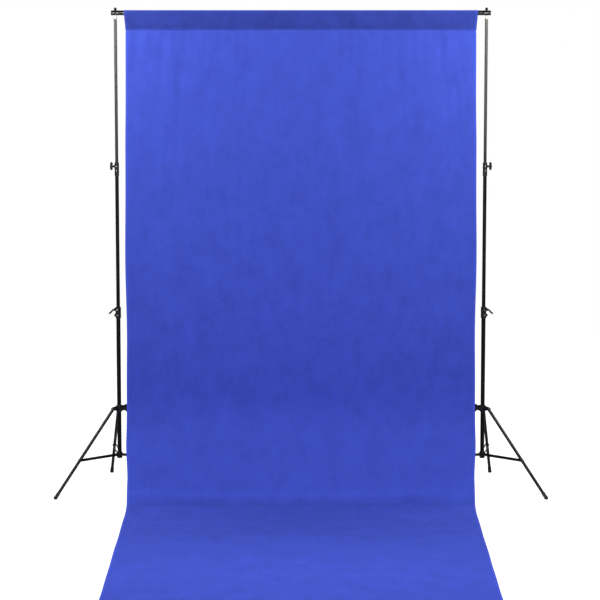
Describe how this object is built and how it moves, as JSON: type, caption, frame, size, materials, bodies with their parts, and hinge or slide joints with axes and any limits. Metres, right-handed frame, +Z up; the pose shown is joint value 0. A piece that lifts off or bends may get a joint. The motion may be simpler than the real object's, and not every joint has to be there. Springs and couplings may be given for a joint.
{
  "type": "cloth backdrop on a crossbar and tripod stands",
  "caption": "Cloth backdrop hung by its rod pocket from a crossbar on telescopic tripod stands; the cloth drops, curves forward and runs over the floor.",
  "frame": {"origin": "on the floor, at the centre of the kit's footprint, midway between the stands and midway between the rear feet and the cloth's front end", "axes": "+X to the right along the crossbar as the backdrop is faced, +Y from the cloth's front end towards the stands' rear feet, +Z up"},
  "size_m": [2.5622, 3, 2.5239],
  "materials": {
    "cloth": "matt brushed non-woven cloth, soft sheen, faint upright streaks",
    "crossbar_tube": "glossy black paint",
    "column_tube": "satin black paint",
    "upper_tube": "satin gunmetal, bright where it catches the light",
    "leg_tube": "satin black paint, worn at the ends",
    "brace_strip": "satin black paint",
    "moulding": "fine-grained black moulding",
    "knob": "slightly glossy black moulding",
    "bush": "off-white low-friction moulding",
    "pin_steel": "blackened steel",
    "bright_metal": "bright plated steel",
    "foot_rubber": "matt black rubber"
  },
  "bodies": {
    "base": {"left_lower_tube": "column_tube", "left_tube_plug": "moulding", "left_base_hub": "moulding", "left_base_hub_pins": "pin_steel", "left_lower_collar": "moulding", "right_lower_tube": "column_tube", "right_tube_plug": "moulding", "right_base_hub": "moulding", "right_base_hub_pins": "pin_steel", "right_lower_collar": "moulding", "drop_lower": "cloth", "cove": "cloth", "floor_run": "cloth"},
    "left_mid_section": {"left_mid_tube": "column_tube", "left_mid_bush": "bush", "left_upper_collar": "moulding", "drop_upper": "cloth"},
    "left_top_section": {"left_top_tube": "upper_tube", "left_top_bush": "bush", "left_spigot": "bright_metal", "crossbar_end_sections": "crossbar_tube", "crossbar_middle_sections": "crossbar_tube", "crossbar_end_caps": "moulding", "rod_pocket": "cloth"},
    "left_leg_slider": {"left_leg_hub": "moulding", "left_leg_hub_pins": "pin_steel"},
    "left_leg_assembly_1": {"left_leg_1": "leg_tube", "left_foot_1": "foot_rubber"},
    "left_brace_link_1": {"left_brace_1": "brace_strip"},
    "left_leg_assembly_2": {"left_leg_2": "leg_tube", "left_foot_2": "foot_rubber"},
    "left_brace_link_2": {"left_brace_2": "brace_strip"},
    "left_leg_assembly_3": {"left_leg_3": "leg_tube", "left_foot_3": "foot_rubber"},
    "left_brace_link_3": {"left_brace_3": "brace_strip"},
    "left_hub_knob_screw": {"left_hub_knob": "knob"},
    "left_lower_lever_screw": {"left_lower_lever": "knob"},
    "left_upper_knob_screw": {"left_upper_knob": "knob"},
    "left_wing_nut_body": {"left_wing_nut": "knob"},
    "right_mid_section": {"right_mid_tube": "column_tube", "right_mid_bush": "bush", "right_upper_collar": "moulding"},
    "right_top_section": {"right_top_tube": "upper_tube", "right_top_bush": "bush", "right_spigot": "bright_metal"},
    "right_leg_slider": {"right_leg_hub": "moulding", "right_leg_hub_pins": "pin_steel"},
    "right_leg_assembly_1": {"right_leg_1": "leg_tube", "right_foot_1": "foot_rubber"},
    "right_brace_link_1": {"right_brace_1": "brace_strip"},
    "right_leg_assembly_2": {"right_leg_2": "leg_tube", "right_foot_2": "foot_rubber"},
    "right_brace_link_2": {"right_brace_2": "brace_strip"},
    "right_leg_assembly_3": {"right_leg_3": "leg_tube", "right_foot_3": "foot_rubber"},
    "right_brace_link_3": {"right_brace_3": "brace_strip"},
    "right_hub_knob_screw": {"right_hub_knob": "knob"},
    "right_lower_lever_screw": {"right_lower_lever": "knob"},
    "right_upper_knob_screw": {"right_upper_knob": "knob"},
    "right_wing_nut_body": {"right_wing_nut": "knob"}
  },
  "joints": [
    {"name": "left_lower_extension", "type": "slide", "parent": "base", "child": "left_mid_section", "axis": [0, 0, 1], "range_m": [-0.603, 0], "deforming": ["drop_lower"]},
    {"name": "left_upper_extension", "type": "slide", "parent": "left_mid_section", "child": "left_top_section", "axis": [0, 0, 1], "range_m": [-0.705, 0], "deforming": ["drop_upper"]},
    {"name": "left_fold", "type": "slide", "parent": "base", "child": "left_leg_slider", "axis": [0, 0, 1], "range_m": [0, 0.3179]},
    {"name": "left_leg_1_pivot", "type": "hinge", "parent": "left_leg_slider", "child": "left_leg_assembly_1", "pos_m": [-0.98411, 1.05933, 0.43], "axis": [0.6428, -0.766, 0], "range_deg": [0, 41.49]},
    {"name": "left_brace_1_pivot", "type": "hinge", "parent": "base", "child": "left_brace_link_1", "pos_m": [-0.97032, 1.0709, 0.18339], "axis": [0.6428, -0.766, 0], "range_deg": [-85.63, 0]},
    {"name": "left_leg_2_pivot", "type": "hinge", "parent": "left_leg_slider", "child": "left_leg_assembly_2", "pos_m": [-0.9616, 1.12118, 0.43], "axis": [-0.9848, -0.1736, 0], "range_deg": [0, 41.49]},
    {"name": "left_brace_2_pivot", "type": "hinge", "parent": "base", "child": "left_brace_link_2", "pos_m": [-0.95847, 1.10346, 0.18339], "axis": [-0.9848, -0.1736, 0], "range_deg": [-85.63, 0]},
    {"name": "left_leg_3_pivot", "type": "hinge", "parent": "left_leg_slider", "child": "left_leg_assembly_3", "pos_m": [-0.91929, 1.07076, 0.43], "axis": [0.342, 0.9397, 0], "range_deg": [0, 41.49]},
    {"name": "left_brace_3_pivot", "type": "hinge", "parent": "base", "child": "left_brace_link_3", "pos_m": [-0.93621, 1.07692, 0.18339], "axis": [0.342, 0.9397, 0], "range_deg": [-85.63, 0]},
    {"name": "left_hub_knob_turn", "type": "hinge", "parent": "left_leg_slider", "child": "left_hub_knob_screw", "pos_m": [-0.92053, 1.11268, 0.439], "axis": [0.766, 0.6428, 0], "range_deg": [0, 450]},
    {"name": "left_lower_lever_turn", "type": "hinge", "parent": "base", "child": "left_lower_lever_screw", "pos_m": [-0.971, 1.08376, 0.955], "axis": [0, -1, 0], "range_deg": [0, 60]},
    {"name": "left_upper_knob_turn", "type": "hinge", "parent": "left_mid_section", "child": "left_upper_knob_screw", "pos_m": [-0.983, 1.08376, 1.705], "axis": [-1, 0, 0], "range_deg": [0, 450]},
    {"name": "left_wing_nut_turn", "type": "hinge", "parent": "left_top_section", "child": "left_wing_nut_body", "pos_m": [-0.955, 1.08376, 2.5145], "axis": [0, 0, 1], "range_deg": [0, 450]},
    {"name": "right_lower_extension", "type": "slide", "parent": "base", "child": "right_mid_section", "axis": [0, 0, 1], "range_m": [-0.603, 0]},
    {"name": "right_upper_extension", "type": "slide", "parent": "right_mid_section", "child": "right_top_section", "axis": [0, 0, 1], "range_m": [-0.705, 0]},
    {"name": "right_fold", "type": "slide", "parent": "base", "child": "right_leg_slider", "axis": [0, 0, 1], "range_m": [0, 0.3179]},
    {"name": "right_leg_1_pivot", "type": "hinge", "parent": "right_leg_slider", "child": "right_leg_assembly_1", "pos_m": [0.98411, 1.05933, 0.43], "axis": [0.6428, 0.766, 0], "range_deg": [0, 41.49]},
    {"name": "right_brace_1_pivot", "type": "hinge", "parent": "base", "child": "right_brace_link_1", "pos_m": [0.97032, 1.0709, 0.18339], "axis": [0.6428, 0.766, 0], "range_deg": [-85.63, 0]},
    {"name": "right_leg_2_pivot", "type": "hinge", "parent": "right_leg_slider", "child": "right_leg_assembly_2", "pos_m": [0.9616, 1.12118, 0.43], "axis": [-0.9848, 0.1736, 0], "range_deg": [0, 41.49]},
    {"name": "right_brace_2_pivot", "type": "hinge", "parent": "base", "child": "right_brace_link_2", "pos_m": [0.95847, 1.10346, 0.18339], "axis": [-0.9848, 0.1736, 0], "range_deg": [-85.63, 0]},
    {"name": "right_leg_3_pivot", "type": "hinge", "parent": "right_leg_slider", "child": "right_leg_assembly_3", "pos_m": [0.91929, 1.07076, 0.43], "axis": [0.342, -0.9397, 0], "range_deg": [0, 41.49]},
    {"name": "right_brace_3_pivot", "type": "hinge", "parent": "base", "child": "right_brace_link_3", "pos_m": [0.93621, 1.07692, 0.18339], "axis": [0.342, -0.9397, 0], "range_deg": [-85.63, 0]},
    {"name": "right_hub_knob_turn", "type": "hinge", "parent": "right_leg_slider", "child": "right_hub_knob_screw", "pos_m": [0.92053, 1.11268, 0.439], "axis": [-0.766, 0.6428, 0], "range_deg": [0, 450]},
    {"name": "right_lower_lever_turn", "type": "hinge", "parent": "base", "child": "right_lower_lever_screw", "pos_m": [0.971, 1.08376, 0.955], "axis": [0, -1, 0], "range_deg": [0, 60]},
    {"name": "right_upper_knob_turn", "type": "hinge", "parent": "right_mid_section", "child": "right_upper_knob_screw", "pos_m": [0.983, 1.08376, 1.705], "axis": [1, 0, 0], "range_deg": [0, 450]},
    {"name": "right_wing_nut_turn", "type": "hinge", "parent": "right_top_section", "child": "right_wing_nut_body", "pos_m": [0.955, 1.08376, 2.5145], "axis": [0, 0, 1], "range_deg": [0, 450]}
  ],
  "couplings": [
    {"joint": "left_leg_1_pivot", "follows": "left_fold", "rad_per_m": 2.2773},
    {"joint": "left_brace_1_pivot", "follows": "left_fold", "rad_per_m": -4.7007},
    {"joint": "left_leg_2_pivot", "follows": "left_fold", "rad_per_m": 2.2773},
    {"joint": "left_brace_2_pivot", "follows": "left_fold", "rad_per_m": -4.7007},
    {"joint": "left_leg_3_pivot", "follows": "left_fold", "rad_per_m": 2.2773},
    {"joint": "left_brace_3_pivot", "follows": "left_fold", "rad_per_m": -4.7007},
    {"joint": "right_leg_1_pivot", "follows": "right_fold", "rad_per_m": 2.2773},
    {"joint": "right_brace_1_pivot", "follows": "right_fold", "rad_per_m": -4.7007},
    {"joint": "right_leg_2_pivot", "follows": "right_fold", "rad_per_m": 2.2773},
    {"joint": "right_brace_2_pivot", "follows": "right_fold", "rad_per_m": -4.7007},
    {"joint": "right_leg_3_pivot", "follows": "right_fold", "rad_per_m": 2.2773},
    {"joint": "right_brace_3_pivot", "follows": "right_fold", "rad_per_m": -4.7007},
    {"joint": "right_lower_extension", "follows": "left_lower_extension", "ratio": 1},
    {"joint": "right_upper_extension", "follows": "left_upper_extension", "ratio": 1}
  ]
}
